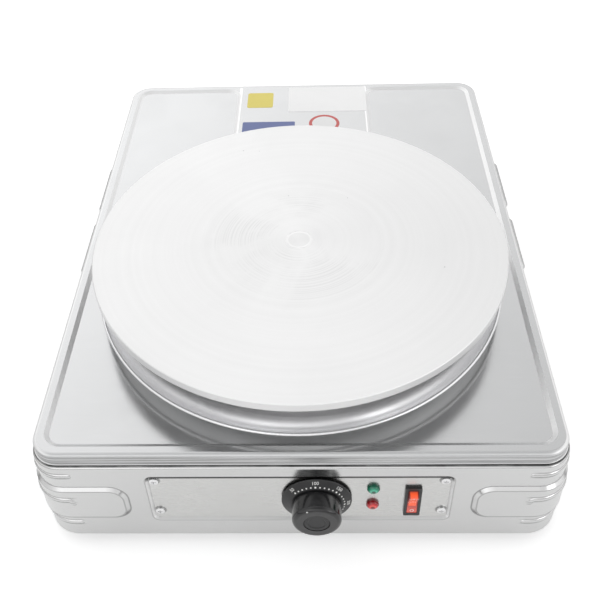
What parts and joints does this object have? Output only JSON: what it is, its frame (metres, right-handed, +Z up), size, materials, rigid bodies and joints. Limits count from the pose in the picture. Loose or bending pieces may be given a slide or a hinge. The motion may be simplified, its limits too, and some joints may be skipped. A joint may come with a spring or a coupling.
{
  "type": "electric crepe maker",
  "caption": "Countertop electric crepe maker: round griddle plate on posts over a drip dish, on a long stamped steel box with knob, lamps and rocker switch.",
  "frame": {"origin": "centre of the overall bounding box, on the plane of the rubber feet", "axes": "+Z up, front with the knob towards -Y, +X to the right of a person who faces the front"},
  "size_m": [0.48, 0.6552, 0.185],
  "materials": {
    "black_plastic": "glossy black moulding",
    "brass_tabs": "stamped brass",
    "casing_steel": "satin stainless sheet",
    "ceramic": "ceramic bush with a steel tab",
    "copper": "drawn copper tube",
    "cover_steel": "bright stainless sheet",
    "dish_steel": "polished spun stainless sheet",
    "element_steel": "dark oxidised tube",
    "fasteners": "zinc-plated steel",
    "fibre": "pressed ceramic fibre",
    "foot_rubber": "moulded black rubber",
    "galvanised_sheet": "zinc-coated sheet",
    "gland_plastic": "moulded nylon",
    "green_lens": "moulded lens",
    "griddle_metal": "bare turned plate with fine concentric tool marks",
    "insert_grey": "dished grey disc",
    "pale_plastic": "moulded heat-proof plastic",
    "panel_steel": "satin stainless sheet",
    "red_lens": "moulded lens",
    "rocker_orange": "lit rocker cap",
    "seal_rubber": "soft seal"
  },
  "bodies": {
    "cooker": {"casing": "casing_steel", "top_cover": "cover_steel", "base_plate": "galvanised_sheet", "base_screws": "fasteners", "cover_screws": "fasteners", "foot_front_left": "foot_rubber", "foot_front_right": "foot_rubber", "foot_rear_left": "foot_rubber", "foot_rear_right": "foot_rubber", "foot_screws": "fasteners", "foot_nuts": "fasteners", "control_panel": "panel_steel", "panel_screws": "fasteners", "dial_ring": "black_plastic", "thermostat_body": "pale_plastic", "thermostat_screws": "fasteners", "capillary_tube": "copper", "sensor_bulb": "copper", "bulb_clips": "fasteners", "green_lamp_lens": "green_lens", "green_lamp_body": "pale_plastic", "red_lamp_lens": "red_lens", "red_lamp_body": "pale_plastic", "switch_housing": "black_plastic", "switch_terminals": "brass_tabs", "griddle_plate": "griddle_metal", "drip_dish": "dish_steel", "heat_shield": "galvanised_sheet", "insulation_disc": "fibre", "heating_element_outer": "element_steel", "heating_element_inner": "element_steel", "element_terminals": "ceramic", "element_clamps": "fasteners", "clamp_studs": "fasteners", "plate_posts": "fasteners", "post_nuts": "fasteners", "support_rails": "galvanised_sheet", "terminal_block": "pale_plastic", "terminal_screws": "fasteners", "gland_body": "gland_plastic", "gland_nut": "gland_plastic", "gland_seal": "seal_rubber", "gland_locknut": "gland_plastic"},
    "thermostat_knob": {"knob": "black_plastic", "knob_insert": "insert_grey", "thermostat_shaft": "fasteners"},
    "power_rocker": {"switch_rocker": "rocker_orange"}
  },
  "joints": [
    {"name": "knob_turn", "type": "hinge", "parent": "cooker", "child": "thermostat_knob", "pos_m": [0.015, -0.31376, 0.06954], "axis": [0, 0.9989, -0.0471], "range_deg": [-45, 211]},
    {"name": "rocker_tilt", "type": "hinge", "parent": "cooker", "child": "power_rocker", "pos_m": [0.0995, -0.29576, 0.06488], "axis": [-1, 0, 0], "range_deg": [0, 20]}
  ]
}
